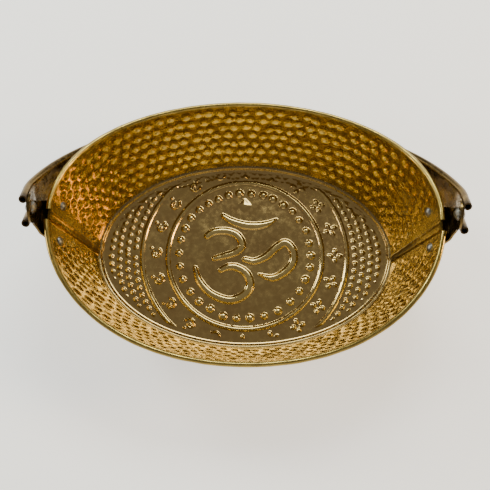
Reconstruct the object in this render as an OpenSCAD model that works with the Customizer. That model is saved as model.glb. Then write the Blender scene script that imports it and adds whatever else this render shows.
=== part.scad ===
// Oval brass basket-bowl with a swinging bail handle, in millimetres.
// The origin is the centre of the floor's underside. +X runs along the bowl, +Y to its back, +Z up.
// Two hammered sheet walls lap at the tips. Strap ears riveted over the laps carry the handle.

/* [Bowl] */
// Length of the rim, tip to tip, on the middle of its bead
rim_length = 305; // [285:1:325]
// Width of the rim across its middle, on the middle of its bead
rim_width = 218; // [205:1:235]
// Length of the foot of the walls, on the middle of the sheet
foot_length = 246.5; // [235:0.5:255]
// Width of the foot of the walls, on the middle of the sheet
foot_width = 159.5; // [150:0.5:170]
// Height of the rim at the middle of the long sides
rim_side_z = 66; // [58:1:72]
// Height of the rim at the two tips
rim_tip_z = 87.5; // [84:0.5:90]
// How much fuller than an oval the rim is between its sides and tips, as a fraction
rim_fullness = 0.016; // [0:0.002:0.03]
// How far the walls belly outwards between foot and rim
wall_belly = 1.5; // [0:0.1:3]
// Thickness of the wall sheet
sheet_t = 1; // [0.8:0.1:1.1]
// Lap of one wall over the other at a tip
lap_length = 7.5; // [6:0.5:9]

/* [Rim] */
// Radius of the wire inside the rolled edge
wire_r = 1.1; // [0.9:0.05:1.2]
// Distance of the bead's end from the tip, across the bowl
bead_end_y = 5.5; // [5:0.5:8]
// Angle that the sheet turns through round the wire
roll_turn = 280; // [240:5:290]

/* [Floor] */
// Thickness of the floor sheet
floor_t = 1.2; // [1:0.1:1.6]
// Height of the floor's turned-up edge
floor_edge_h = 4; // [3:0.5:6]
// Radius of the inner embossed ring
inner_ring_r = 65.5; // [60:0.5:68]
// Half-width and height of the embossed ring
ring_bead_r = 1.6; // [1.2:0.1:2]

/* [Ears] */
// Thickness of the ear strap
ear_t = 1.6; // [1.4:0.1:1.8]
// Radius of the flat disc that carries the pivot
ear_disc_r = 12; // [10:0.5:13]
// Distance of the pivot disc's middle plane from the bowl's centre
ear_disc_x = 160.5; // [160:0.5:163]
// Height of the pivots
pivot_z = 106; // [104:0.5:109]
// Height of the ear rivets
ear_rivet_z = 71.5; // [68:0.5:72]
// Distance of an ear rivet from the tip, across the bowl
ear_rivet_y = 14.7; // [13:0.1:16]

/* [Rivets] */
// Radius of an ear rivet's shank
ear_shank_r = 2; // [1.6:0.1:2.2]
// Radius of an ear rivet's domed head
ear_head_r = 3.7; // [3.2:0.1:4.2]
// Radius of a pivot rivet's shank
pivot_shank_r = 2.5; // [2:0.1:3]
// Radius of a pivot rivet's domed head
pivot_head_r = 4.8; // [4.2:0.1:5.2]
// Radial clearance of the handle on a pivot rivet
pivot_clearance = 0.06; // [0.03:0.01:0.1]

/* [Handle] */
// Thickness of the handle sheet
handle_t = 1.2; // [1:0.1:1.4]
// Radius of the handle's two rolled edges
handle_bead_r = 3.2; // [2.8:0.1:3.4]
// Distance between the middles of the two rolled edges
handle_bead_gap = 20.4; // [18:0.2:22]
// Angle that each knee turns through, between a flat end and the arch
knee_turn = 15; // [13:1:18]
// Length of the flat end beyond the pivot
handle_tail = 7; // [6:0.5:9]
// Length of the flat end between the pivot and the knee
handle_flat = 9; // [8:0.5:12]
// Radius of the knee between a flat end and the arch
knee_r = 40; // [30:1:50]

/* [Hidden] */
$fn = 64;

brass = "goldenrod";
dull_brass = "darkgoldenrod";
rivet_metal = "silver";
wire_metal = "dimgray";

fit_gap = 0.05;       // gap between two sheets that lie on each other
seam_gap = 0.2;       // gap between the floor's edge and the walls
side_play = 0.3;      // play of the handle along its pivots, on each side
table_gap = 0.3;      // gap under the resting handle
half_t = sheet_t / 2;

// Wall surface: t is the angle round the bowl, on the middle of the sheet
roll_mid_r = wire_r + fit_gap + half_t;
foot_a = foot_length / 2;
foot_b = foot_width / 2;
top_a = rim_length / 2 - roll_mid_r;
top_b = rim_width / 2 - roll_mid_r;
tip_rise = rim_tip_z - rim_side_z;
lap_angle = asin(lap_length / 2 / top_b);
bead_angle = asin(bead_end_y / top_b);
lap_shift = half_t + fit_gap;
lap_flat = lap_length / 2 + 1;
lap_blend = 10;
lap_steps = 3;
bead_steps = 52;
wall_rows = 7;
roll_steps = 9;
wire_sides = 8;

function unit(v) = v / norm(v);
function mix(p, q, s) = p * (1 - s) + q * s;
function steps(first, last, count) = [for (i = [0 : count]) mix(first, last, i / count)];
function rim_z(t) = rim_side_z + tip_rise * pow(abs(cos(t)), 3);
function foot_point(t) = [foot_a * cos(t), foot_b * sin(t), 0];
function fuller(t) = 1 + rim_fullness * pow(sin(2 * t), 2);
function top_point(t) = [top_a * cos(t) * fuller(t), top_b * sin(t) * fuller(t), rim_z(t)];
function slant(t) = unit(top_point(t) - foot_point(t));
function half_way(t) = mix(foot_point(t), top_point(t), 0.5);
function along(t) = half_way(t + 1) - half_way(t - 1);
function outward(t) = unit(cross(along(t), slant(t)));
function belly(s, t) = 4 * wall_belly * s * (1 - s) * pow(sin(t), 2);

// Where the walls lap, one sheet moves outwards (side = 1) and the other inwards (side = -1)
function lap_weight(t) =
    let (d = (abs(top_b * sin(t)) - lap_flat) / lap_blend)
    d <= 0 ? 1 : d >= 1 ? 0 : (1 + cos(180 * d)) / 2;
function shifted(t, side) = outward(t) * side * lap_shift * lap_weight(t);

// A sheet's cross-section is a list of [point, normal] pairs along its middle
function wall_section(t, side) = [
    for (s = steps(0, 1, wall_rows))
    [mix(foot_point(t), top_point(t), s) + outward(t) * belly(s, t) + shifted(t, side), outward(t)]
];
function wire_point(t, side) = top_point(t) + outward(t) * roll_mid_r + shifted(t, side);
function roll_section(t, side) = [
    for (i = [1 : roll_steps])
    let (
        turn = i * roll_turn / roll_steps,
        n = slant(t) * sin(turn) - outward(t) * cos(turn)
    )
    [wire_point(t, side) + n * roll_mid_r, -n]
];

// One hammered wall with its rolled rim; start is the angle of the tip that it begins at
module wall(start, side) {
    angles = concat(
        [for (i = [0 : lap_steps - 1]) start + mix(-lap_angle, bead_angle, i / lap_steps)],
        steps(start + bead_angle, start + 180 - bead_angle, bead_steps),
        [for (i = [1 : lap_steps]) start + 180 + mix(-bead_angle, lap_angle, i / lap_steps)]
    );
    sections = [for (t = angles) concat(wall_section(t, side), roll_section(t, side))];
    last = len(angles) - 1;
    top = wall_rows;
    edge = wall_rows + roll_steps;
    first_bead = lap_steps;
    last_bead = last - lap_steps;
    function at(r, c, face) = (r * (edge + 1) + c) * 2 + face;
    function has_bead(r) = r >= first_bead && r < last_bead;
    function quad(a, b, c, d) = [[a, b, c], [a, c, d]];
    function flip(list) = [for (f = list) [f[2], f[1], f[0]]];
    function skin(r, c, face) =
        quad(at(r, c, face), at(r, c + 1, face), at(r + 1, c + 1, face), at(r + 1, c, face));
    function border(r, c) = quad(at(r, c, 0), at(r + 1, c, 0), at(r + 1, c, 1), at(r, c, 1));
    function cap(r, c) = quad(at(r, c, 0), at(r, c, 1), at(r, c + 1, 1), at(r, c + 1, 0));
    points = [for (section = sections) for (pair = section) for (face = [-half_t, half_t])
        pair[0] + pair[1] * face];
    faces = [
        for (r = [0 : last - 1]) each concat(
            [for (c = [0 : (has_bead(r) ? edge : top) - 1]) each concat(skin(r, c, 0), flip(skin(r, c, 1)))],
            border(r, 0),
            flip(border(r, has_bead(r) ? edge : top))
        ),
        for (c = [0 : top - 1]) each concat(cap(0, c), flip(cap(last, c))),
        for (c = [top : edge - 1]) each concat(cap(first_bead, c), flip(cap(last_bead, c)))
    ];
    polyhedron(points, faces);
}

// The wire inside a rolled rim
module rim_wire(start, side) {
    angles = steps(start + bead_angle, start + 180 - bead_angle, bead_steps);
    points = [
        for (t = angles) for (k = [0 : wire_sides - 1])
        let (turn = 360 * k / wire_sides)
        wire_point(t, side) + (slant(t) * sin(turn) - outward(t) * cos(turn)) * wire_r
    ];
    function at(r, k) = r * wire_sides + k % wire_sides;
    faces = concat(
        [for (r = [0 : bead_steps - 1]) for (k = [0 : wire_sides - 1])
            each [[at(r, k), at(r, k + 1), at(r + 1, k + 1)], [at(r, k), at(r + 1, k + 1), at(r + 1, k)]]],
        [[for (k = [wire_sides - 1 : -1 : 0]) at(0, k)], [for (k = [0 : wire_sides - 1]) at(bead_steps, k)]]
    );
    polyhedron(points, faces);
}

// A domed head standing on z = 0
module dome(r, h) {
    ball_r = (r * r + h * h) / (2 * h);
    intersection() {
        translate([0, 0, h - ball_r]) sphere(ball_r);
        cylinder(r = r, h = h);
    }
}

// The ear follows the outside of the laps on a cone about a vertical axis
ear_slope = atan((top_a - foot_a) / rim_tip_z);
ear_cone_r = 64;      // radius of the cone at the rivets, a little tighter than the walls
ear_gap = lap_shift + half_t + 0.1;
ear_foot_s = 56;      // distances up the slant where the strap starts and where it leaves the wall
ear_leave_s = 80;
ear_bulge_z = pivot_z - 20;
ear_bulge_in = 2.4;   // how far the bulge under the disc is inside the disc's plane
ear_upright_z = pivot_z - 10;
ear_neck_y = 9.5;
ear_saddle_y = 12;    // middle of the saddle's round corners
ear_saddle_r = 10;
ear_saddle_z = 69;
rivet_s = ear_rivet_z / rim_tip_z;
rivet_a = mix(foot_a, top_a, rivet_s);
rivet_b = mix(foot_b, top_b, rivet_s);
rivet_t = asin(ear_rivet_y / rivet_b);
axis_x = rivet_a - ear_cone_r;
ear_face_x = ear_disc_x - ear_t / 2;
ear_sweep = 24;

// How far a circle of this radius has dropped away from its tangent at an ear rivet
function drop(r) = r - sqrt(r * r - ear_rivet_y * ear_rivet_y);

function slant_point(s, out) = [
    foot_a - axis_x + s * sin(ear_slope) + out * cos(ear_slope),
    s * cos(ear_slope) - out * sin(ear_slope)
];

// Point i of a path moved sideways by t, with mitred corners
function side_step(path, i) =
    let (d = unit(path[i + 1] - path[i])) [d.y, -d.x];
function moved(path, i, t) =
    let (
        n = side_step(path, min(i, len(path) - 2)),
        m = unit(n + side_step(path, max(i - 1, 0)))
    )
    path[i] + m * t / (m * n);

// Cross-section of the strap, from the foot of the saddle to the upright tab
module ear_profile() {
    face_x = ear_face_x - axis_x;
    inner = [
        slant_point(ear_foot_s, ear_gap), slant_point(ear_leave_s, ear_gap),
        [face_x - ear_bulge_in, ear_bulge_z], [face_x, ear_upright_z], [face_x, ear_upright_z + 2]
    ];
    last = len(inner) - 1;
    polygon(concat(inner, [for (i = [last : -1 : 0]) moved(inner, i, ear_t)]));
}

// Front view of the ear: a disc over a wider rounded saddle
module ear_outline() {
    circle(r = ear_disc_r);
    neck_z = ear_upright_z - pivot_z;
    polygon([
        [-ear_neck_y, 0], [-ear_neck_y, neck_z], [-ear_saddle_y - ear_saddle_r, ear_saddle_z + 3 - pivot_z],
        [ear_saddle_y + ear_saddle_r, ear_saddle_z + 3 - pivot_z], [ear_neck_y, neck_z], [ear_neck_y, 0]
    ]);
    hull() {
        for (y = [-ear_saddle_y, ear_saddle_y])
            translate([y, ear_saddle_z - pivot_z]) circle(r = ear_saddle_r);
    }
}

// Puts its children on the middle of the right-hand wall at an ear rivet, +Z outwards
module on_ear_rivet(side) {
    t = side * rivet_t;
    n = outward(t);
    translate(mix(foot_point(t), top_point(t), rivet_s))
        rotate([0, acos(n.z), atan2(n.y, n.x)]) children();
}

module ear() {
    difference() {
        intersection() {
            union() {
                translate([axis_x, 0, 0]) rotate([0, 0, -ear_sweep])
                    rotate_extrude(angle = 2 * ear_sweep) ear_profile();
                translate([ear_face_x, -ear_disc_r, ear_upright_z])
                    cube([ear_t, 2 * ear_disc_r, pivot_z + ear_disc_r - ear_upright_z]);
            }
            translate([0, 0, pivot_z]) rotate([90, 0, 90]) linear_extrude(2 * ear_disc_x) ear_outline();
        }
        translate([ear_face_x - 1, 0, pivot_z]) rotate([0, 90, 0]) cylinder(r = pivot_shank_r, h = ear_t + 2);
        for (side = [-1, 1]) on_ear_rivet(side) cylinder(r = ear_shank_r, h = 20, center = true);
    }
}

// Ear rivet at the right tip, behind the middle (side = 1) or in front (side = -1)
ear_stack = ear_gap + ear_t - drop(ear_cone_r) + drop(rivet_b * rivet_b / rivet_a);
tail_h = 1.8;
head_h = 2.2;
module ear_rivet(side) {
    on_ear_rivet(side) {
        translate([0, 0, -half_t]) cylinder(r = ear_shank_r, h = half_t + ear_stack);
        translate([0, 0, ear_stack]) dome(ear_head_r - 0.2, tail_h);
        translate([0, 0, -half_t]) mirror([0, 0, 1]) dome(ear_head_r, head_h);
    }
}

// Pivot rivet at the right tip: domed head inside the ear, tail outside the handle
web_face_x = ear_disc_x + ear_t / 2 + side_play;
pivot_head_h = 3;
pivot_tail_h = 2.2;
module pivot_rivet() {
    grip = web_face_x + handle_t + side_play - ear_face_x;
    translate([ear_face_x, 0, pivot_z]) rotate([0, 90, 0]) {
        cylinder(r = pivot_shank_r, h = grip);
        translate([0, 0, grip]) dome(pivot_head_r - 0.6, pivot_tail_h);
        mirror([0, 0, 1]) dome(pivot_head_r, pivot_head_h);
    }
}

// The handle lies in the XY plane, its pivots on the X axis, before it swings down to the table.
// Each side is a flat end, a knee and half of one arch, whose arcs meet without a corner.
knee_x = web_face_x - knee_r;
arch_y = handle_flat - knee_x * tan(knee_turn);
arch_r = knee_r + knee_x / cos(knee_turn);
bead_reach = arch_y + arch_r + handle_bead_r;
bead_half_gap = handle_bead_gap / 2;
rest_angle = asin((pivot_z - handle_bead_r - table_gap) / norm([bead_reach, bead_half_gap]))
    - atan(bead_half_gap / bead_reach);

// Strap section with two rolled edges; x is outwards from the bowl, y across the strap
module strap_section() {
    translate([0, -bead_half_gap]) square([handle_t, handle_bead_gap]);
    for (y = [-bead_half_gap, bead_half_gap]) translate([handle_bead_r, y]) difference() {
        circle(r = handle_bead_r);
        circle(r = handle_bead_r - handle_t);
    }
}

// Moves in two steps, whole millimetres and then the rest, so that the arcs meet to the last digit
module shift_x(d) { translate([floor(d), 0]) translate([d - floor(d), 0]) children(); }
module shift_y(d) { translate([0, floor(d), 0]) translate([0, d - floor(d), 0]) children(); }

module half_handle() {
    rotate([90, 0, 0]) translate([0, 0, -handle_flat]) linear_extrude(handle_flat + handle_tail)
        translate([web_face_x, 0]) strap_section();
    shift_x(knee_x) shift_y(handle_flat) rotate_extrude(angle = knee_turn)
        translate([knee_r, 0]) strap_section();
}

module handle() {
    color(brass) translate([0, 0, pivot_z]) rotate([-rest_angle, 0, 0]) difference() {
        union() {
            half_handle();
            mirror([1, 0, 0]) half_handle();
            shift_y(arch_y) rotate_extrude(angle = 180 - 2 * knee_turn, start = knee_turn)
                shift_x(arch_r) strap_section();
        }
        rotate([0, 90, 0]) cylinder(r = pivot_shank_r + pivot_clearance, h = 2 * rim_length, center = true);
    }
}

// The floor is a shallow pan that fits inside the feet of the walls
module oval(a, b, h) {
    linear_extrude(h) polygon([for (t = steps(0, 354, 59)) [a * cos(t), b * sin(t)]]);
}

module floor_plate() {
    a = foot_a - half_t - 2 * lap_shift - seam_gap;
    b = foot_b - half_t - seam_gap;
    color(dull_brass) {
        difference() {
            oval(a, b, floor_edge_h);
            translate([0, 0, floor_t]) oval(a - floor_t, b - floor_t, floor_edge_h);
        }
        translate([0, 0, floor_t]) rotate_extrude() translate([inner_ring_r, 0]) intersection() {
            circle(r = ring_bead_r);
            translate([-ring_bead_r, -half_t]) square([2 * ring_bead_r, ring_bead_r + half_t]);
        }
    }
}

module drilled_wall(start, side) {
    color(brass) difference() {
        wall(start, side);
        for (tip = [0, 1]) mirror([tip, 0, 0]) on_ear_rivet(start == 0 ? 1 : -1)
            cylinder(r = ear_shank_r, h = 20, center = true);
    }
}

module at_left() { mirror([1, 0, 0]) children(); }

module front_wall() { drilled_wall(180, 1); }
module back_wall() { drilled_wall(0, -1); }
module front_rim_wire() { color(wire_metal) rim_wire(180, 1); }
module back_rim_wire() { color(wire_metal) rim_wire(0, -1); }
module left_ear() { color(brass) at_left() ear(); }
module right_ear() { color(brass) ear(); }
module ear_rivet_left_front() { color(rivet_metal) at_left() ear_rivet(-1); }
module ear_rivet_left_back() { color(rivet_metal) at_left() ear_rivet(1); }
module ear_rivet_right_front() { color(rivet_metal) ear_rivet(-1); }
module ear_rivet_right_back() { color(rivet_metal) ear_rivet(1); }
module left_pivot_rivet() { color(rivet_metal) at_left() pivot_rivet(); }
module right_pivot_rivet() { color(rivet_metal) pivot_rivet(); }

floor_plate();
front_wall();
back_wall();
front_rim_wire();
back_rim_wire();
left_ear();
right_ear();
ear_rivet_left_front();
ear_rivet_left_back();
ear_rivet_right_front();
ear_rivet_right_back();
left_pivot_rivet();
right_pivot_rivet();
handle();
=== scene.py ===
# Oval hammered brass basket-bowl with a swinging handle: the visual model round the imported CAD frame.
# Shapes are worked out in millimetres in the CAD model's frame and made in metres.
import math
import bpy
import numpy as np
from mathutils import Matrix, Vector


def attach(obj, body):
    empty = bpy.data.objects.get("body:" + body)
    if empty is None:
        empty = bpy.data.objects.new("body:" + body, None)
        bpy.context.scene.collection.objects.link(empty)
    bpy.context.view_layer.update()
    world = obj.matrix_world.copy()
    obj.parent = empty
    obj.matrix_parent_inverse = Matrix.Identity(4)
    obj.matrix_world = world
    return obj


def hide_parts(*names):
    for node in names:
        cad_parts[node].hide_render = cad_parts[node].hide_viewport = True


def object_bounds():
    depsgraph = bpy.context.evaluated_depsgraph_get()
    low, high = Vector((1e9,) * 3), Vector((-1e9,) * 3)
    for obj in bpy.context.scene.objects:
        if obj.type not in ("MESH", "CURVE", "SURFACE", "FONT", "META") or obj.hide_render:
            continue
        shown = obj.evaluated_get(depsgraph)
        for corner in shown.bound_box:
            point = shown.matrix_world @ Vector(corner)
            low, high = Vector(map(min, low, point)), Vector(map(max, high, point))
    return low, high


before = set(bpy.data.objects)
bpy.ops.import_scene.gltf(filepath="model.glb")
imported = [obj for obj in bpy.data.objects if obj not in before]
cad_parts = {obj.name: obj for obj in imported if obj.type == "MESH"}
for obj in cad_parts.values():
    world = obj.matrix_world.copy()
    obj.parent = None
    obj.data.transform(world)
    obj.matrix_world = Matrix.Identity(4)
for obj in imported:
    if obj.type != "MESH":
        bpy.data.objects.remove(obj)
cad_low, cad_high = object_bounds()
MM = 0.001

# ---------------------------------------------------------------- camera
CAMERA_DISTANCE = 0.852
CAMERA_ELEVATION = math.radians(71.6)
CAMERA_AZIMUTH = math.radians(1.0)
camera_data = bpy.data.cameras.new("camera")
camera_data.sensor_width = 36
camera_data.lens = 73.5
camera_data.shift_y = 0.021
camera = bpy.data.objects.new("camera", camera_data)
camera.location = CAMERA_DISTANCE * Vector((
    math.sin(CAMERA_AZIMUTH) * math.cos(CAMERA_ELEVATION),
    -math.cos(CAMERA_AZIMUTH) * math.cos(CAMERA_ELEVATION),
    math.sin(CAMERA_ELEVATION),
))
camera.rotation_euler = (-camera.location).to_track_quat("-Z", "Y").to_euler()
bpy.context.scene.collection.objects.link(camera)
bpy.context.scene.camera = camera

# ---------------------------------------------------------------- sizes of the CAD model, mm
FOOT_A, FOOT_B = 123.25, 79.75
TOP_A, TOP_B = 150.85, 107.35
RIM_SIDE_Z, RIM_TIP_RISE = 66.0, 21.5
RIM_FULLNESS = 0.016
WALL_BELLY = 1.5
HALF_T = 0.5
WIRE_R = 1.1
ROLL_MID_R = 1.65
ROLL_TURN = math.radians(280)
LAP_SHIFT = 0.55
LAP_FLAT, LAP_BLEND = 4.75, 10.0
LAP_ANGLE = math.asin(3.75 / TOP_B)
BEAD_ANGLE = math.asin(4.1 / TOP_B)
FLOOR_A, FLOOR_B = 121.45, 79.05
FLOOR_T = 1.2
PIVOT_Z = 106.0
REST_ANGLE = math.radians(40.635)

# The seams are a little off the middle, as a hand-made bowl's are
SEAM_RIGHT = -math.asin(2.4 / TOP_B)
SEAM_LEFT = math.pi - math.asin(1.6 / TOP_B)


def unit(v):
    return v / np.linalg.norm(v, axis=-1, keepdims=True)


def smooth_step(x, low, high):
    x = np.clip((x - low) / (high - low), 0, 1)
    return x * x * (3 - 2 * x)


# ---------------------------------------------------------------- meshes
def make_object(name, points, faces, body, material, nodes,
                sharp=40, relief=None, flow=None, grime_and_shade=None):
    """A mesh piece, from points in mm and lists of equal-length faces, riding on a CAD body."""
    points = np.asarray(points, float)
    quads = np.concatenate([np.asarray(f)[:, [0, 1, 2]] for f in faces] +
                           [np.asarray(f)[:, [0, 2, 3]] for f in faces if np.asarray(f).shape[1] == 4])
    corners = points[quads]
    volume = np.einsum("ij,ij->i", corners[:, 0], np.cross(corners[:, 1], corners[:, 2])).sum()
    turned = 1 if volume > 0 else -1
    lists = [face for f in faces for face in np.asarray(f)[:, ::turned].tolist()]
    mesh = bpy.data.meshes.new(name)
    mesh.from_pydata((points * MM).tolist(), [], lists)
    layers = (("relief", "FLOAT", "value", relief), ("grime_and_shade", "FLOAT", "value", grime_and_shade),
              ("flow", "FLOAT_VECTOR", "vector", flow))
    for label, kind, field, values in layers:
        if values is not None:
            attribute = mesh.attributes.new(label, kind, "POINT")
            attribute.data.foreach_set(field, np.ravel(values).astype(np.float32))
    mesh.shade_smooth()
    mesh.set_sharp_from_angle(angle=math.radians(sharp))
    mesh.materials.append(material)
    obj = bpy.data.objects.new(name, mesh)
    bpy.context.scene.collection.objects.link(obj)
    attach(obj, body)
    if nodes:
        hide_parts(*nodes)
    return obj


def grid_solid(outer, inner, keep=None):
    """Closed sheet between two grids of points of the same shape; keep says which cells are there."""
    rows, cols = outer.shape[:2]
    if keep is None:
        keep = np.ones((rows - 1, cols - 1), bool)
    index = np.arange(rows * cols).reshape(rows, cols)
    shift = rows * cols
    corner = [index[:-1, :-1], index[1:, :-1], index[1:, 1:], index[:-1, 1:]]
    skin = np.stack([c[keep] for c in corner], -1)
    faces = [skin, skin[:, ::-1] + shift]
    padded = np.pad(keep, 1)
    neighbours = [padded[1:-1, :-2], padded[2:, 1:-1], padded[1:-1, 2:], padded[:-2, 1:-1]]
    for side, beyond in enumerate(neighbours):
        open_side = keep & ~beyond
        p, q = corner[side][open_side], corner[(side + 1) % 4][open_side]
        faces.append(np.stack([q, p, p + shift, q + shift], -1))
    faces = np.concatenate(faces)
    points = np.concatenate([outer.reshape(-1, 3), inner.reshape(-1, 3)])
    used, faces = np.unique(faces, return_inverse=True)
    return points[used], faces.reshape(-1, 4), used


# ---------------------------------------------------------------- wall surface
def foot_point(t):
    return np.stack([FOOT_A * np.cos(t), FOOT_B * np.sin(t), 0 * t], -1)


def top_point(t):
    fuller = 1 + RIM_FULLNESS * np.sin(2 * t) ** 2
    z = RIM_SIDE_Z + RIM_TIP_RISE * np.abs(np.cos(t)) ** 3
    return np.stack([TOP_A * np.cos(t) * fuller, TOP_B * np.sin(t) * fuller, z], -1)


def slant(t):
    return unit(top_point(t) - foot_point(t))


def half_way(t):
    return (foot_point(t) + top_point(t)) / 2


def outward(t):
    degree = math.radians(1)
    return unit(np.cross(half_way(t + degree) - half_way(t - degree), slant(t)))


def lap_weight(t):
    d = np.clip((np.abs(TOP_B * np.sin(t)) - LAP_FLAT) / LAP_BLEND, 0, 1)
    return (1 + np.cos(math.pi * d)) / 2


def dents(u, v, pitch, row, jitter, seed):
    """Depth from 0 to 1 of staggered round hammer marks over the plane (u, v)."""
    spread = np.random.default_rng(seed).uniform(-1, 1, (4, 64, 256))
    line = np.floor(v / row).astype(int)
    best = np.zeros_like(u)
    for dl in (-1, 0, 1):
        j = line + dl
        stagger = 0.5 * (j % 2)
        column = np.floor(u / pitch - stagger).astype(int)
        for dc in (-1, 0, 1):
            i = column + dc
            du, dv, size, depth = spread[:, j % 64, i % 256]
            cu = (i + 0.5 + stagger + jitter * du) * pitch
            cv = (j + 0.5 + jitter * dv) * row
            r = 1 + 0.8 * jitter * size
            q = ((u - cu) / (0.44 * pitch * r)) ** 2 + ((v - cv) / (0.53 * row * r)) ** 2
            best = np.maximum(best, np.clip(1 - q, 0, 1) ** 1.12 * (1 + 0.9 * jitter * depth))
    return best


def waves(u, v, length, seed):
    """Slow unevenness, about -1 to 1, as a sum of plane waves."""
    rng = np.random.default_rng(seed)
    total = 0 * u
    for k in range(7):
        angle, phase = rng.uniform(0, 2 * math.pi, 2)
        scale = 2 * math.pi / (length * rng.uniform(0.6, 1.6))
        total = total + np.sin(scale * (u * math.cos(angle) + v * math.sin(angle)) + phase)
    return total / 3.5


WALL_COLUMNS, WALL_ROWS, ROLL_ROWS = 516, 80, 13
# Rows of large hammer marks, and the plain strips below the first and above the last
MARK_ROWS, PLAIN_FOOT, PLAIN_TOP = 7, 9.5, 1.7
# Where a line is pressed along a seam, from the sheet's end: in front, and behind
LINE_FRONT, LINE_BACK = 7.6, 4.4


def wall(name, first, last, side, seed, material):
    """One hammered wall with its rolled rim, between two seam angles.

    side is 1 for the sheet outside the laps and -1 for the one inside them.
    """
    t = np.linspace(first - LAP_ANGLE, last + LAP_ANGLE, WALL_COLUMNS)
    s = np.linspace(0, 1, WALL_ROWS)
    normal, foot, top = outward(t), foot_point(t), top_point(t)
    length = np.linalg.norm(top - foot, axis=-1)
    step = np.linalg.norm(np.diff(half_way(t), axis=0), axis=-1)
    u1 = np.concatenate([[0], np.cumsum(step)])
    u, _ = np.meshgrid(u1, s, indexing="ij")
    v = length[:, None] * s
    from_end = np.minimum(u, u1[-1] - u)
    under_rim = length[:, None] - v
    # Rows follow the foot and the rim; towards the tips they are closer and less even
    height = (v - PLAIN_FOOT) / (length[:, None] - PLAIN_FOOT - PLAIN_TOP) * MARK_ROWS
    big = dents(u, height * 8, 9.3, 8, 0.17, seed)
    small = dents(u, v, 8.6, 8.2, 0.17, seed + 1)
    towards_end = 1 - smooth_step(from_end + 6 * waves(u, v, 30, seed + 5), 38, 56)
    plain_end = smooth_step(from_end, 5 + 11 * s, 12 + 15 * s)
    frame_mask = smooth_step(height, -0.15, 0.25) * smooth_step(MARK_ROWS - height, -0.1, 0.3)
    mark = (big * 1.15 * (1 - towards_end) + small * 1.05 * towards_end) * plain_end * frame_mask
    planish = dents(u, v, 6.4, 6.4, 0.5, seed + 2) * 0.10 * (1 - frame_mask)
    uneven = waves(u, v, 45, seed + 3) * 0.20 * smooth_step(under_rim, 0, 12) * smooth_step(v, 0, 8)
    # A line pressed along the seam: just past the other sheet's edge in front, along the lap behind
    line_at = LINE_FRONT if side > 0 else LINE_BACK
    lap_line = np.exp(-((from_end - line_at) / 0.7) ** 2) * 0.5 * smooth_step(under_rim, 2, 6)
    shift = side * LAP_SHIFT * lap_weight(t)[:, None]
    out = 4 * WALL_BELLY * s * (1 - s) * np.sin(t)[:, None] ** 2
    out = out + shift + mark + planish + uneven * plain_end - lap_line
    middle = foot[:, None] * (1 - s)[:, None] + top[:, None] * s[:, None] + normal[:, None] * out[..., None]
    sheet_normal = np.repeat(normal[:, None], WALL_ROWS, 1)
    # The rolled edge turns over the wire
    wire = top + normal * (ROLL_MID_R + shift)
    turn = (np.arange(ROLL_ROWS) + 1) * ROLL_TURN / ROLL_ROWS
    spoke = slant(t)[:, None] * np.sin(turn)[:, None] - normal[:, None] * np.cos(turn)[:, None]
    beaten = 0.07 * waves(u1[:, None], turn * 2, 16, seed + 4)[..., None] - 0.07
    roll = wire[:, None] + spoke * (ROLL_MID_R + beaten)
    middle = np.concatenate([middle, roll], 1)
    sheet_normal = np.concatenate([sheet_normal, -spoke], 1)
    has_bead = (t > first + BEAD_ANGLE) & (t < last - BEAD_ANGLE)
    keep = np.ones((WALL_COLUMNS - 1, WALL_ROWS + ROLL_ROWS - 1), bool)
    keep[:, WALL_ROWS - 1:] = (has_bead[:-1] & has_bead[1:])[:, None]
    points, faces, used = grid_solid(middle - sheet_normal * HALF_T, middle + sheet_normal * HALF_T, keep)
    points[:, 2] = np.maximum(points[:, 2], cad_low.z / MM)
    relief = np.concatenate([mark, np.zeros((WALL_COLUMNS, ROLL_ROWS))], 1).ravel()
    roll_v = length[:, None] + turn * ROLL_MID_R
    flow = np.stack([np.repeat(u1[:, None], WALL_ROWS + ROLL_ROWS, 1), np.concatenate([v, roll_v], 1),
                     0 * middle[..., 0]], -1).reshape(-1, 3)
    # Darker in the lower part of the seams; painted shade in the pressed line and just under the rolled rim
    seam = np.exp(-((from_end - 2.4) / 2.3) ** 2) * (1 - smooth_step(v, 20, 74)) * 1.9
    # painted shade in the pressed line along the seam
    seam = np.maximum(seam, np.exp(-((from_end - line_at) / 0.9) ** 2) * 0.75)
    # painted shade just under the rolled rim
    seam = np.maximum(seam, 0.5 * (1 - smooth_step(under_rim, 0.5, 2.5)))
    seam = np.clip(seam * (1 + 0.5 * waves(u, v, 9, seed + 6)), 0, 1)
    dull_and_shade = 0.44 + 0.14 * waves(u1[:, None] + 0 * turn, turn * 3, 14, seed + 7)
    sheet_dirt_and_shade = np.concatenate([seam, np.clip(dull_and_shade, 0, 1)], 1).ravel()
    make_object(name + "_sheet", points, [faces], "bowl", material, [name],
                relief=np.tile(relief, 2)[used], flow=np.tile(flow, (2, 1))[used],
                grime_and_shade=np.tile(sheet_dirt_and_shade, 2)[used])


def rim_wire(name, first, last, side, material):
    """The wire inside a rolled rim, its ends a little inside the roll."""
    t = np.linspace(first + BEAD_ANGLE * 1.2, last - BEAD_ANGLE * 1.2, 160)
    sides = 12
    turn = np.arange(sides) * 2 * math.pi / sides
    centre = top_point(t) + outward(t) * (ROLL_MID_R + side * LAP_SHIFT * lap_weight(t)[:, None])
    spoke = slant(t)[:, None] * np.sin(turn)[:, None] - outward(t)[:, None] * np.cos(turn)[:, None]
    ring = centre[:, None] + spoke * (WIRE_R * 0.98)
    points, faces = tube(ring)
    make_object(name + "_rod", points, faces, "bowl", material, [name])


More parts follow.
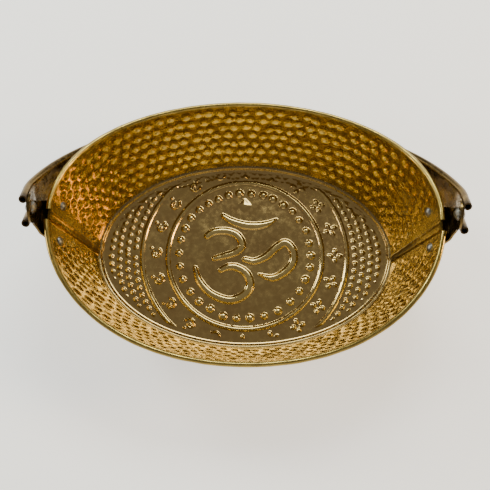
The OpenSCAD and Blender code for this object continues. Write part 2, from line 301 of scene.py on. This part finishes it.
def tube(rings):
    """Closed tube through rings of points, its ends closed by a fan round their middle points."""
    count, sides = rings.shape[:2]
    index = np.arange(count * sides).reshape(count, sides)
    turned = np.roll(index, -1, 1)
    skin = np.stack([index[:-1], turned[:-1], turned[1:], index[1:]], -1).reshape(-1, 4)
    ends = np.stack([rings[0].mean(0), rings[-1].mean(0)])
    start = np.stack([turned[0], index[0], np.full(sides, count * sides)], -1)
    end = np.stack([index[-1], turned[-1], np.full(sides, count * sides + 1)], -1)
    return np.concatenate([rings.reshape(-1, 3), ends]), [skin, start, end]


# ---------------------------------------------------------------- floor relief
def spline(points, count=24):
    """Points along a smooth curve through the given ones."""
    p = np.asarray(points, float)
    p = np.concatenate([[2 * p[0] - p[1]], p, [2 * p[-1] - p[-2]]])
    k = np.linspace(0, 1, count, endpoint=False)[:, None]
    parts = [
        0.5 * (2 * b + (c - a) * k + (2 * a - 5 * b + 4 * c - d) * k ** 2 + (3 * b - a - 3 * c + d) * k ** 3)
        for a, b, c, d in zip(p[:-3], p[1:-2], p[2:-1], p[3:])
    ]
    return np.concatenate(parts + [p[-2:-1]])


def stroke_distance(x, y, path, width):
    """How far inside a stroke a point is, in mm; the half-width varies along the path."""
    curve = spline(path)
    half = np.interp(np.linspace(0, 1, len(curve)), np.linspace(0, 1, len(width)), width)
    best = np.full(x.shape, -1e3)
    low, high = curve.min(0) - 8, curve.max(0) + 8
    near = (x > low[0]) & (x < high[0]) & (y > low[1]) & (y < high[1])
    xs, ys = x[near], y[near]
    inside = np.full(xs.shape, -1e3)
    for (cx, cy), w in zip(curve, half):
        inside = np.maximum(inside, w - np.hypot(xs - cx, ys - cy))
    best[near] = inside
    return best


def raised(inside, bevel):
    """Height from 0 to 1 of a raised shape with a soft foot, a steep flank and a slightly crowned top."""
    return 0.88 * smooth_step(inside, -0.35, bevel) + 0.12 * smooth_step(inside, 0, 2.5 * bevel)


OM_STROKES = [
    # upper curl of the three
    ([(-32.5, 16), (-27, 19.8), (-17, 20.8), (-8.5, 18.2), (-4, 13), (-2.8, 7), (-8, 1.8), (-17, -1.5),
      (-26, -4)],
     [3.0, 3.3, 3.4, 3.4, 3.4, 3.3, 3.3, 3.0, 2.4]),
    # lower curl
    ([(-20, -14), (-14, -11.3), (-7, -11.5), (1.5, -17), (4.8, -27.5), (-1, -36.5), (-13, -40.5), (-28, -35),
      (-38, -24), (-42, -12.5)],
     [2.6, 3.2, 3.4, 3.5, 3.6, 3.6, 3.5, 3.3, 2.9, 2.0]),
    # tail
    ([(0, -4.5), (8, -6), (18, -1.5), (27, 7), (34.5, 11), (40.5, 4.5), (40.8, -6), (34, -15), (23.5, -20.5),
      (12, -17.5)],
     [2.6, 3.0, 3.4, 3.6, 3.6, 3.6, 3.5, 3.4, 3.2, 1.2]),
    # crescent
    ([(-19.5, 35), (-12, 30), (-2, 26.6), (8, 25.8), (18, 27.8), (26.5, 32.5)],
     [2.0, 3.2, 3.7, 3.7, 3.0, 1.0]),
]
OM_HEIGHT, OM_BEVEL = 1.9, 1.75
BEAD_COUNT, BEAD_RING_R, BEAD_SIZE, BEAD_HEIGHT = 32, 56.3, 3.35, 1.9
# Plain rings: radius, height, half-width
RINGS = ((65.5, 1.4, 2.2), (87.0, 1.3, 2.1))
MOTIF_COUNT, MOTIF_R, MOTIF_HEIGHT = 20, 76.2, 1.3
# Rows of small oval beads in the two ends: their radii and their spacing
END_ROWS, END_PITCH = (93.2, 99.9, 106.6, 113.2), 6.7


def floor_height(x, y):
    """Height of the floor's upper face over its flat, in mm, for arrays of x and y."""
    r = np.hypot(x, y)
    a = np.arctan2(y, x)
    oval = np.hypot(x / FLOOR_A, y / FLOOR_B) + 1e-9
    edge = (1 - oval) * oval / (np.hypot(x / FLOOR_A ** 2, y / FLOOR_B ** 2) + 1e-9)
    inside_band = smooth_step(edge, 5.0, 7.5)
    height = 0 * x
    for path, width in OM_STROKES:
        height = np.maximum(height, OM_HEIGHT * raised(stroke_distance(x, y, path, width), OM_BEVEL))
    # faceted dot over the crescent
    diamond = 1.1 - np.sqrt((x + 1) ** 2 + 0.5) / 6.2 - np.sqrt((y - 45) ** 2 + 0.5) / 7.0
    height = np.maximum(height, np.clip(diamond, 0, 1) * 1.25)
    # ring of large beads
    rng = np.random.default_rng(7)
    turn = np.linspace(0, 2 * math.pi, BEAD_COUNT, endpoint=False)
    gap = 1 + 0.11 * np.sin(-turn) + rng.uniform(-0.10, 0.10, BEAD_COUNT)
    angle = np.cumsum(gap) / gap.sum() * 2 * math.pi
    for k in range(BEAD_COUNT):
        radius = BEAD_RING_R + rng.uniform(-0.8, 0.8)
        size = BEAD_SIZE + rng.uniform(-0.4, 0.35)
        d = np.hypot(x - radius * math.cos(angle[k]), y - radius * math.sin(angle[k])) / size
        height = np.maximum(height, BEAD_HEIGHT * np.clip(1 - d * d, 0, 1) ** 0.72)
    # two plain rings, each with a groove beside it
    for radius, tall, wide in RINGS:
        d = (r - radius - 0.35 * np.sin(3 * a + radius)) / wide
        height = np.maximum(height, tall * np.clip(1 - d * d, 0, 1))
        height = height - 0.45 * np.exp(-((r - radius - 3.1) / 0.9) ** 2)
    # band of motifs: four-petal flowers on the right, curls with a dot on the left
    pitch = 2 * math.pi / MOTIF_COUNT
    k = np.round(a / pitch)
    local = a - k * pitch
    tx, ty = r * np.sin(local), r * np.cos(local) - MOTIF_R
    turn = 0.35 * np.sin(k * 2.4)
    tx, ty = tx * np.cos(turn) - ty * np.sin(turn), tx * np.sin(turn) + ty * np.cos(turn)
    q = np.arctan2(ty, tx)
    rr = np.hypot(tx, ty)
    petal_axis = (np.round(q / (math.pi / 2)) * math.pi / 2)
    pu, pv = rr * np.cos(q - petal_axis) - 3.9, rr * np.sin(q - petal_axis)
    flower = 1 - (pu / 2.9) ** 2 - (pv / 2.0) ** 2
    curl = 1 - ((rr - 5.2 + 0.62 * (q + math.pi)) / 1.05) ** 2
    curl = np.where(np.abs(q) < 2.9, curl, 0)
    dot = 1 - (np.hypot(tx - 0.6, ty - 0.4) / 1.45) ** 2
    tail = 1 - (np.hypot(tx + 3.2, (ty - 4.6)) / 1.4) ** 2
    curl = np.maximum(np.maximum(curl, dot), tail)
    motif = np.where(np.cos(k * pitch) > -0.1, flower, curl)
    motif = np.clip(motif, 0, 1) * smooth_step(r, 67.2, 68.4) * (1 - smooth_step(r, 84, 85.2))
    height = np.maximum(height, MOTIF_HEIGHT * motif)
    # rows of small oval beads in the two ends
    for row, radius in enumerate(END_ROWS):
        step = END_PITCH / radius
        k = np.round(a / step + 0.5 * (row % 2))
        centre = (k - 0.5 * (row % 2)) * step
        off = 0.5 * np.sin(k * 5.1 + row)
        d = np.hypot((a - centre) * radius / 2.25, (r - radius - 0.6 * off) / 2.05)
        fade = smooth_step(np.abs(np.cos(a)), 0.54, 0.66)
        height = np.maximum(height, (1.3 + 0.3 * off) * np.clip(1 - d * d, 0, 1) ** 0.75 * fade)
    height = height * inside_band
    # the border was beaten down towards the back wall
    border = smooth_step(edge, 2.0, 3.5) * (1 - smooth_step(edge, 7.5, 10))
    border = border * smooth_step(np.sin(a), -0.1, 0.6)
    height = height - 0.45 * border * dents(a * 100, edge, 6.0, 5.0, 0.3, 13)
    uneven = 0.10 * waves(x, y, 50, 11) + 0.02 * waves(x, y, 18, 12)
    return height, uneven * smooth_step(edge, 2, 6)


GRID_X, GRID_Y = 352, 230


def floor_sheet(material):
    """The embossed floor, a shallow pan with a turned-up edge."""
    lip = [(-2.6, 1.2), (-1.8, 1.3), (-1.1, 1.65), (-0.6, 2.3), (-0.05, 3.2), (0.5, 3.75), (1.2, 4.0),
           (1.95, 4.0), (1.6, 3.2), (0.35, 0.9), (-0.1, 0.3), (-0.7, 0.0)]
    gx, gy = np.meshgrid(np.linspace(-1, 1, GRID_X), np.linspace(-1, 1, GRID_Y), indexing="ij")
    dx, dy = gx * np.sqrt(1 - gy ** 2 / 2), gy * np.sqrt(1 - gx ** 2 / 2)
    x, y = dx * (FLOOR_A + lip[0][0] + 0.5), dy * (FLOOR_B + lip[0][0])
    height, uneven = floor_height(x, y)
    points = np.stack([x, y, FLOOR_T + height + uneven], -1)
    index = np.arange(GRID_X * GRID_Y).reshape(GRID_X, GRID_Y)
    faces = [np.stack([index[:-1, :-1], index[1:, :-1], index[1:, 1:], index[:-1, 1:]], -1).reshape(-1, 4)]
    loop = np.concatenate([index[:-1, 0], index[-1, :-1], index[:0:-1, -1], index[0, :0:-1]])
    angle = np.arctan2(dy.ravel()[loop], dx.ravel()[loop])
    # In front of the seams the edge follows the outer sheet, behind them the inner one
    seam_y = FOOT_B * np.where(np.cos(angle) > 0, math.sin(SEAM_RIGHT), math.sin(SEAM_LEFT))
    side = np.where(FLOOR_B * np.sin(angle) < seam_y, 1, -1)
    everything, relief, ring = [points.reshape(-1, 3)], [height.ravel()], loop
    dull_and_shade = [np.zeros(height.size)]
    start = GRID_X * GRID_Y
    for reach, z in lip[1:]:
        wobble = 0.12 * np.sin(angle * 9 + 1) + 0.08 * np.sin(angle * 23)
        rise = wobble * smooth_step(np.float64(z), 2.5, 3.5) - 0.2 * (z > 3.2)
        reach = reach + side * LAP_SHIFT * lap_weight(angle) * smooth_step(np.float64(z), 0.2, 2)
        x, y = (FLOOR_A + reach + 0.5) * np.cos(angle), (FLOOR_B + reach) * np.sin(angle)
        everything.append(np.stack([x, y, z + rise + 0 * angle], -1))
        relief.append(np.full(len(loop), 0.6 * (z > 3)))
        # painted shade on the turned-up edge, in the corner with the walls
        dull_and_shade.append(np.full(len(loop), 0.5 * (z > 1.5)))
        following = start + np.arange(len(loop))
        faces.append(np.stack([ring, following, np.roll(following, -1), np.roll(ring, -1)], -1)[:, ::-1])
        ring, start = following, start + len(loop)
    everything.append(np.zeros((1, 3)))
    relief.append(np.zeros(1))
    dull_and_shade.append(np.zeros(1))
    faces.append(np.stack([ring, np.roll(ring, -1), np.full(len(ring), start)], -1))
    points = np.concatenate(everything)
    make_object("floor_sheet", points, faces, "bowl", material, ["floor_plate"],
                relief=np.concatenate(relief), flow=points, grime_and_shade=np.concatenate(dull_and_shade))


# ---------------------------------------------------------------- ears, rivets and handle
EAR_T, EAR_DISC_R, EAR_DISC_X = 1.6, 12.0, 160.5
EAR_CONE_R, EAR_GAP = 64.0, 1.15
EAR_NECK_Y, EAR_SADDLE_Y, EAR_SADDLE_R, EAR_SADDLE_Z = 9.5, 12.0, 10.0, 69.0
EAR_SLOPE = math.atan((TOP_A - FOOT_A) / (RIM_SIDE_Z + RIM_TIP_RISE))
EAR_RIVET_Y, EAR_RIVET_Z = 14.7, 71.5
# Shank radius; radius and height of the domed head, then of the domed tail
EAR_RIVET = 2.0, (3.7, 2.2), (3.5, 1.8)
PIVOT_RIVET = 2.5, (4.8, 3.0), (4.2, 2.2)
PIVOT_GRIP = 3.4
RIVET_S = EAR_RIVET_Z / (RIM_SIDE_Z + RIM_TIP_RISE)
AXIS_X = FOOT_A + (TOP_A - FOOT_A) * RIVET_S - EAR_CONE_R


def ear(name, mirror, material):
    """Strap ear: a saddle that hugs the outside of the laps, rising to a flat upright disc."""
    face_x = EAR_DISC_X - EAR_T / 2 - AXIS_X

    def slant_point(s):
        return (FOOT_A - AXIS_X + s * math.sin(EAR_SLOPE) + EAR_GAP * math.cos(EAR_SLOPE),
                s * math.cos(EAR_SLOPE) - EAR_GAP * math.sin(EAR_SLOPE))

    path = [slant_point(56), slant_point(74), slant_point(80), (face_x - 2.4, PIVOT_Z - 20),
            (face_x - 0.35, PIVOT_Z - 12.5), (face_x, PIVOT_Z - 10), (face_x, PIVOT_Z + 13)]
    path = np.array(path)
    count = 44
    disc = PIVOT_Z + EAR_DISC_R * np.sin(np.linspace(-0.6, math.pi / 2 - 0.06, count))
    bottom = EAR_SADDLE_Z - EAR_SADDLE_R * np.cos(np.linspace(0.12, math.pi / 2, 14))
    z = np.unique(np.concatenate([bottom, np.linspace(EAR_SADDLE_Z + 0.7, disc[0] - 0.7, 34), disc]))
    around_disc = np.sqrt(np.clip(EAR_DISC_R ** 2 - (z - PIVOT_Z) ** 2, 0, None))
    neck = np.interp(z, [EAR_SADDLE_Z + 3, EAR_SADDLE_Z + 9, PIVOT_Z - 14, PIVOT_Z - 10, PIVOT_Z],
                     [EAR_SADDLE_Y + EAR_SADDLE_R, 17.5, 10.6, EAR_NECK_Y, EAR_NECK_Y])
    neck = np.where((z > EAR_SADDLE_Z + 3) & (z < PIVOT_Z), neck, 0)
    saddle = EAR_SADDLE_Y + np.sqrt(np.clip(EAR_SADDLE_R ** 2 - (z - EAR_SADDLE_Z) ** 2, 0, None))
    saddle = np.where(np.abs(z - EAR_SADDLE_Z) < EAR_SADDLE_R, saddle, 0)
    half = np.maximum(np.maximum(around_disc, neck), saddle)
    c = np.sin(np.linspace(-math.pi / 2, math.pi / 2, 31))
    y = half[:, None] * c
    zz = np.repeat(z[:, None], len(c), 1)
    # Radius of the strap's inner face about the ear's axis, upright or coned
    radius = np.interp(z, path[:, 1], path[:, 0])[:, None]
    upright = smooth_step(z, PIVOT_Z - 17, PIVOT_Z - 10)[:, None]
    coned = np.sqrt(np.clip(radius ** 2 - y ** 2, 1, None))
    x = AXIS_X + coned * (1 - upright) + radius * upright
    x = x + 0.10 * waves(y, zz, 9, 31) * smooth_step(PIVOT_Z - 6 - zz, 0, 8)
    inner = np.stack([x, y, zz], -1)
    across, up = np.gradient(inner, axis=1), np.gradient(inner, axis=0)
    normal = unit(np.cross(across, up))
    normal = normal * np.sign(normal[..., :1])
    points, faces, _ = grid_solid(inner + normal * EAR_T, inner)
    points = points * [mirror, 1, 1]
    obj = make_object(name + "_strap", points, [faces], "bowl", material, [name], sharp=50)
    round_edges(obj, 0.45)


def round_edges(obj, width):
    """Softens the piece's sharp edges with a small bevel."""
    bevel = obj.modifiers.new("rounded", "BEVEL")
    bevel.width = width * MM
    bevel.segments = 3
    bevel.limit_method = "ANGLE"
    bevel.angle_limit = math.radians(50)
    bevel.use_clamp_overlap = True


def lathe(profile, origin, axis, seed):
    """Rings of a turned shape: profile is (distance along the axis, radius), from one end to the other."""
    axis = unit(np.asarray(axis, float))
    side = unit(np.cross(axis, [0.0, 1.0, 0.3]))
    other = np.cross(axis, side)
    turn = np.linspace(0, 2 * math.pi, 40, endpoint=False)
    rings = []
    for along, radius in profile:
        beaten = 1 + 0.035 * waves(np.cos(turn) * 3, np.sin(turn) * 3 + along, 5, seed) * (radius > 2.6)
        spoke = side * np.cos(turn)[:, None] + other * np.sin(turn)[:, None]
        rings.append(np.asarray(origin) + axis * along + spoke * (radius * beaten)[:, None])
    return tube(np.array(rings))


def dome_profile(radius, tall, count=9):
    """Half the outline of a domed head, from its rim to its top; (height, radius)."""
    ball = (radius * radius + tall * tall) / (2 * tall)
    height = tall * np.sin(np.linspace(0, math.pi / 2, count))
    spread = np.sqrt(np.clip(ball ** 2 - (height - tall + ball) ** 2, 0, None))
    return list(zip(height, np.maximum(spread, 0.05)))


def rivet(name, origin, axis, grip, sizes, seed, material):
    """Rivet with a domed head behind its origin and a domed tail past its grip, along the axis."""
    shank_r, head, tail = sizes
    head_half = [(-h, r) for h, r in dome_profile(*head)][::-1]
    tail_half = [(grip + h, r) for h, r in dome_profile(*tail)]
    profile = head_half + [(0.0, shank_r), (grip, shank_r)] + tail_half
    points, faces = lathe(profile, origin, axis, seed)
    make_object(name + "_body", points, faces, "bowl", material, [name], sharp=35)


def ear_rivets(material):
    rivet_a = FOOT_A + (TOP_A - FOOT_A) * RIVET_S
    rivet_b = FOOT_B + (TOP_B - FOOT_B) * RIVET_S
    angle = math.asin(EAR_RIVET_Y / rivet_b)

    def drop(r):
        return r - math.sqrt(r * r - EAR_RIVET_Y ** 2)

    stack = EAR_GAP + EAR_T - drop(EAR_CONE_R) + drop(rivet_b ** 2 / rivet_a)
    seed = 50
    for end, flip in (("left", -1), ("right", 1)):
        for place, side in (("front", -1), ("back", 1)):
            t = np.array(side * angle)
            n = outward(t)
            centre = foot_point(t) * (1 - RIVET_S) + top_point(t) * RIVET_S
            mirror = np.array([flip, 1, 1])
            seed += 1
            rivet(f"ear_rivet_{end}_{place}", (centre - n * HALF_T) * mirror, n * mirror,
                  HALF_T + stack, EAR_RIVET, seed, material)


def pivot_rivets(material):
    face_x = EAR_DISC_X - EAR_T / 2
    for end, flip in (("left", -1), ("right", 1)):
        rivet(f"{end}_pivot_rivet", (flip * face_x, 0, PIVOT_Z), (flip, 0, 0),
              PIVOT_GRIP, PIVOT_RIVET, 60 + flip, material)


WEB_X, KNEE_R, HANDLE_FLAT, HANDLE_TAIL = 161.6, 40.0, 9.0, 7.0
KNEE_TURN = math.radians(15)
EDGE_TURN = math.radians(306)
HANDLE_T, BEAD_R, BEAD_HALF_GAP = 1.2, 3.2, 10.2


def handle_path():
    """Points and outward directions along the inner face of the handle, in its own plane."""
    knee_x = WEB_X - KNEE_R
    arch_y = HANDLE_FLAT - knee_x * math.tan(KNEE_TURN)
    arch_r = KNEE_R + knee_x / math.cos(KNEE_TURN)
    flat = [((WEB_X, y), 0.0) for y in np.linspace(-HANDLE_TAIL, HANDLE_FLAT, 9)[:-1]]
    knee = [((knee_x + KNEE_R * math.cos(a), HANDLE_FLAT + KNEE_R * math.sin(a)), a)
            for a in np.linspace(0, KNEE_TURN, 8)[:-1]]
    half = [((arch_r * math.cos(a), arch_y + arch_r * math.sin(a)), a)
            for a in np.linspace(KNEE_TURN, math.pi / 2, 110)]
    right = flat + knee + half
    left = [((-x, y), math.pi - a) for (x, y), a in right[-2::-1]]
    line = right + left
    place = np.array([p for p, _ in line])
    angle = np.array([a for _, a in line])
    return place, np.stack([np.cos(angle), np.sin(angle)], -1)


def handle(material):
    """A strap whose two long edges are rolled outwards into open tubes."""
    mid_r = BEAD_R - HANDLE_T / 2
    turn = np.linspace(0, EDGE_TURN, 22)
    roll_out = BEAD_R - mid_r * np.cos(turn)
    roll_w = BEAD_HALF_GAP + mid_r * np.sin(turn)
    web_w = np.linspace(-BEAD_HALF_GAP, BEAD_HALF_GAP, 15)[1:-1]
    out = np.concatenate([roll_out[::-1], 0 * web_w + HANDLE_T / 2, roll_out])
    w = np.concatenate([-roll_w[::-1], web_w, roll_w])
    tangent = unit(np.gradient(np.stack([out, w], -1), axis=0))
    normal = np.stack([tangent[:, 1], -tangent[:, 0]], -1)
    place, away = handle_path()
    distance = np.concatenate([[0], np.cumsum(np.linalg.norm(np.diff(place, axis=0), axis=-1))])
    is_web = np.interp(np.abs(w), [6, 9.5], [1, 0]) * (np.abs(out - HANDLE_T / 2) < 0.1)
    beaten = 0.09 * waves(distance[:, None], w[None] * 1.0, 12, 71) * is_web
    skins = []
    for face in (-HANDLE_T / 2, HANDLE_T / 2):
        o = out + normal[:, 0] * face + beaten
        across = w + normal[:, 1] * face
        x = place[:, :1] + away[:, :1] * o
        y = place[:, 1:] + away[:, 1:] * o
        z = np.repeat(across[None], len(place), 0)
        turned_y = y * math.cos(REST_ANGLE) + z * math.sin(REST_ANGLE)
        turned_z = -y * math.sin(REST_ANGLE) + z * math.cos(REST_ANGLE) + PIVOT_Z
        skins.append(np.stack([x, turned_y, turned_z], -1))
    points, faces, used = grid_solid(skins[0], skins[1])
    along = np.repeat(distance[:, None], len(w), 1)
    round_edge = np.repeat(np.arange(len(w))[None] * 1.0, len(place), 0)
    flow = np.stack([along, round_edge, 0 * along], -1).reshape(-1, 3)
    flow = np.concatenate([flow, flow])[used]
    from_tip = np.minimum(distance, distance[-1] - distance)
    # Painted shade near the strap's two ends, by the ears and pivots
    dull_and_shade = 1 - smooth_step(np.repeat(from_tip[:, None], len(w), 1), 0.5, 9)
    obj = make_object("handle_strap", points, [faces], "handle", material, ["handle"],
                      sharp=50, flow=flow, grime_and_shade=np.tile(dull_and_shade.ravel(), 2)[used])
    round_edges(obj, 0.25)


# ---------------------------------------------------------------- materials
class Shader:
    """Builds a node material with few words."""

    def __init__(self, name):
        self.material = bpy.data.materials.new(name)
        self.material.use_nodes = True
        self.tree = self.material.node_tree
        self.surface = self.tree.nodes["Principled BSDF"]

    def node(self, kind, links=None, **settings):
        made = self.tree.nodes.new("ShaderNode" + kind)
        for key, value in settings.items():
            setattr(made, key, value)
        for key, value in (links or {}).items():
            self.put(made.inputs[key], value)
        return made

    def put(self, socket, value):
        if isinstance(value, bpy.types.NodeSocket):
            self.tree.links.new(value, socket)
        elif isinstance(value, tuple) and len(value) == 3 and socket.type == "RGBA":
            socket.default_value = (*value, 1)
        else:
            socket.default_value = value

    def math(self, operation, a, b=0.0, c=0.0):
        return self.node("Math", {0: a, 1: b, 2: c}, operation=operation).outputs[0]

    def noise(self, coords, scale, detail=4.0, rough=0.55, stretch=None, distortion=0.0):
        if stretch:
            coords = self.node("Mapping", {"Vector": coords, "Scale": stretch}).outputs[0]
        return self.node("TexNoise", {"Vector": coords, "Scale": scale, "Detail": detail, "Roughness": rough,
                                      "Distortion": distortion}).outputs[0]

    def ramp(self, value, low, high, to_low=0.0, to_high=1.0):
        return self.node("MapRange", {0: value, 1: low, 2: high, 3: to_low, 4: to_high}).outputs[0]

    def mix(self, factor, a, b):
        return self.node("Mix", {0: factor, 6: a, 7: b}, data_type="RGBA").outputs[2]

    def position(self):
        return self.node("TexCoord").outputs["Object"]

    def attribute(self, name, output):
        return self.node("Attribute", attribute_name=name).outputs[output]


def brass(name, deep, bright, stain, stain_amount, rough, grain, relief_range=None, streaks=None):
    """Aged sheet brass. deep and bright are its colour in the hollows and on what is rubbed bright."""
    s = Shader(name)
    at = s.position()
    patches = s.noise(at, 28, 5, 0.6)
    mottle = s.noise(at, 170, 6, 0.62)
    fine = s.noise(at, 900, 4, 0.6)
    wear = s.math("ADD", s.math("MULTIPLY", patches, 0.9), s.math("MULTIPLY", mottle, 0.3))
    rubbed = s.ramp(wear, 0.42, 0.80)
    if relief_range:
        relief = s.ramp(s.attribute("relief", "Fac"), *relief_range)
        rubbed = s.math("ADD", s.math("MULTIPLY", rubbed, 0.45), s.math("MULTIPLY", relief, 0.6))
        rubbed = s.math("MINIMUM", rubbed, 1.0)
    colour = s.mix(rubbed, deep, bright)
    stained = s.ramp(s.math("MULTIPLY", patches, s.noise(at, 75, 5, 0.7, distortion=0.6)), 0.27, 0.40)
    colour = s.mix(s.math("MULTIPLY", stained, stain_amount), colour, stain)
    # Darkening from the grime attribute: duller rim and darker seams, and painted shade in creases, under
    # the rim, on the floor's edge and at the handle's ends
    dirt_and_shade = s.attribute("grime_and_shade", "Fac")
    colour = s.mix(s.math("MULTIPLY", dirt_and_shade, 0.85), colour, (0.035, 0.022, 0.012))
    s.put(s.surface.inputs["Base Color"], colour)
    s.surface.inputs["Metallic"].default_value = 1.0
    gloss = s.ramp(mottle, 0.35, 0.68, rough[0], rough[1])
    gloss = s.math("ADD", gloss, s.math("MULTIPLY", stained, 0.28 * stain_amount))
    gloss = s.math("SUBTRACT", gloss, s.math("MULTIPLY", rubbed, 0.05))
    gloss = s.math("ADD", gloss, s.math("MULTIPLY", dirt_and_shade, 0.2))
    height = s.math("ADD", s.math("MULTIPLY", mottle, 0.7), s.math("MULTIPLY", fine, 0.3))
    if streaks:
        lines = s.noise(s.attribute("flow", "Vector"), 1.0, 5, 0.6, stretch=streaks)
        height = s.math("ADD", height, s.math("MULTIPLY", lines, 0.8))
        gloss = s.math("ADD", gloss, s.ramp(lines, 0.35, 0.65, -0.05, 0.07))
    s.put(s.surface.inputs["Roughness"], gloss)
    bump = s.node("Bump", {"Height": height, "Strength": grain, "Distance": 0.0006})
    s.put(s.surface.inputs["Normal"], bump.outputs[0])
    return s.material


def grey_metal(name, dark, light, rough):
    """Worn aluminium or steel with fine marks."""
    s = Shader(name)
    at = s.position()
    mottle = s.noise(at, 420, 6, 0.65)
    marks = s.noise(at, 260, 5, 0.7, stretch=(1.0, 0.2, 3.0))
    s.put(s.surface.inputs["Base Color"], s.mix(s.ramp(mottle, 0.38, 0.66), dark, light))
    s.surface.inputs["Metallic"].default_value = 1.0
    s.put(s.surface.inputs["Roughness"], s.ramp(marks, 0.35, 0.68, rough[0], rough[1]))
    height = s.math("ADD", s.math("MULTIPLY", mottle, 0.6), s.math("MULTIPLY", marks, 0.5))
    bump = s.node("Bump", {"Height": height, "Strength": 0.5, "Distance": 0.0005})
    s.put(s.surface.inputs["Normal"], bump.outputs[0])
    return s.material


wall_brass = brass("hammered_brass", (0.35, 0.225, 0.052), (0.58, 0.42, 0.115), (0.16, 0.085, 0.018), 0.35,
                   (0.19, 0.26), 0.045, relief_range=(1.1, 0.1), streaks=(0.05, 0.9, 1.0))
floor_brass = brass("embossed_brass", (0.37, 0.235, 0.088), (0.60, 0.45, 0.17), (0.27, 0.155, 0.052), 0.22,
                    (0.13, 0.17), 0.045, relief_range=(0.3, 2.0), streaks=(0.25, 0.25, 0.25))
strap_brass = brass("strap_brass", (0.095, 0.059, 0.019), (0.20, 0.132, 0.048), (0.045, 0.024, 0.010), 0.6,
                    (0.20, 0.36), 0.25)
aluminium = grey_metal("rivet_aluminium", (0.12, 0.115, 0.10), (0.28, 0.27, 0.245), (0.32, 0.52))
steel = grey_metal("rim_wire", (0.10, 0.095, 0.09), (0.25, 0.24, 0.22), (0.4, 0.6))

# ---------------------------------------------------------------- pieces
wall("back_wall", SEAM_RIGHT, SEAM_LEFT, -1, 101, wall_brass)
wall("front_wall", SEAM_LEFT, 2 * math.pi + SEAM_RIGHT, 1, 201, wall_brass)
rim_wire("back_rim_wire", SEAM_RIGHT, SEAM_LEFT, -1, steel)
rim_wire("front_rim_wire", SEAM_LEFT, 2 * math.pi + SEAM_RIGHT, 1, steel)
floor_sheet(floor_brass)
ear("left_ear", -1, strap_brass)
ear("right_ear", 1, strap_brass)
ear_rivets(aluminium)
pivot_rivets(aluminium)
handle(strap_brass)

# ---------------------------------------------------------------- stage and light
stage_mesh = bpy.data.meshes.new("stage_floor")
STAGE_REACH = 15.0
ground = cad_low.z - 0.0001
corners = [(x * STAGE_REACH, y * STAGE_REACH, ground) for x, y in ((-1, -1), (1, -1), (1, 1), (-1, 1))]
stage_mesh.from_pydata(corners, [], [(0, 1, 2, 3)])
stage_floor = bpy.data.objects.new("stage_floor", stage_mesh)
bpy.context.scene.collection.objects.link(stage_floor)
paper = Shader("stage_paper")
paper.surface.inputs["Base Color"].default_value = (0.93, 0.925, 0.915, 1)
paper.surface.inputs["Roughness"].default_value = 0.8
paper.surface.inputs["Emission Color"].default_value = (1.0, 0.995, 0.985, 1)
paper.surface.inputs["Emission Strength"].default_value = 0.8
stage_mesh.materials.append(paper.material)


def soft_light(name, place, size, watts, colour):
    """A rectangular soft box that faces the bowl; its size is in metres and its power in watts."""
    data = bpy.data.lights.new(name, "AREA")
    data.shape = "RECTANGLE"
    data.size, data.size_y = size
    data.energy = watts
    data.color = colour
    lamp = bpy.data.objects.new(name, data)
    lamp.location = place
    lamp.rotation_euler = (Vector((0, 0, 0.04)) - Vector(place)).to_track_quat("-Z", "Y").to_euler()
    bpy.context.scene.collection.objects.link(lamp)


soft_light("window", (0.22, 1.18, 1.33), (0.95, 0.55), 20.5, (0.93, 1.0, 0.92))
soft_light("back_left", (-1.25, 0.95, 0.85), (0.5, 0.5), 14, (0.92, 1.0, 0.93))
soft_light("front_fill", (0.1, -1.8, 0.75), (2.4, 1.3), 7.2, (1.0, 0.92, 0.76))
soft_light("warm_side", (1.4, 0.1, 0.7), (0.4, 0.5), 16, (1.0, 0.68, 0.28))
soft_light("left_low", (-1.45, 0.0, 0.6), (0.5, 0.4), 8, (1.0, 0.93, 0.76))
world = bpy.data.worlds.new("studio")
world.use_nodes = True
world.node_tree.nodes["Background"].inputs[0].default_value = (1.0, 0.965, 0.91, 1)
world.node_tree.nodes["Background"].inputs[1].default_value = 0.30
bpy.context.scene.world = world

bpy.context.view_layer.update()
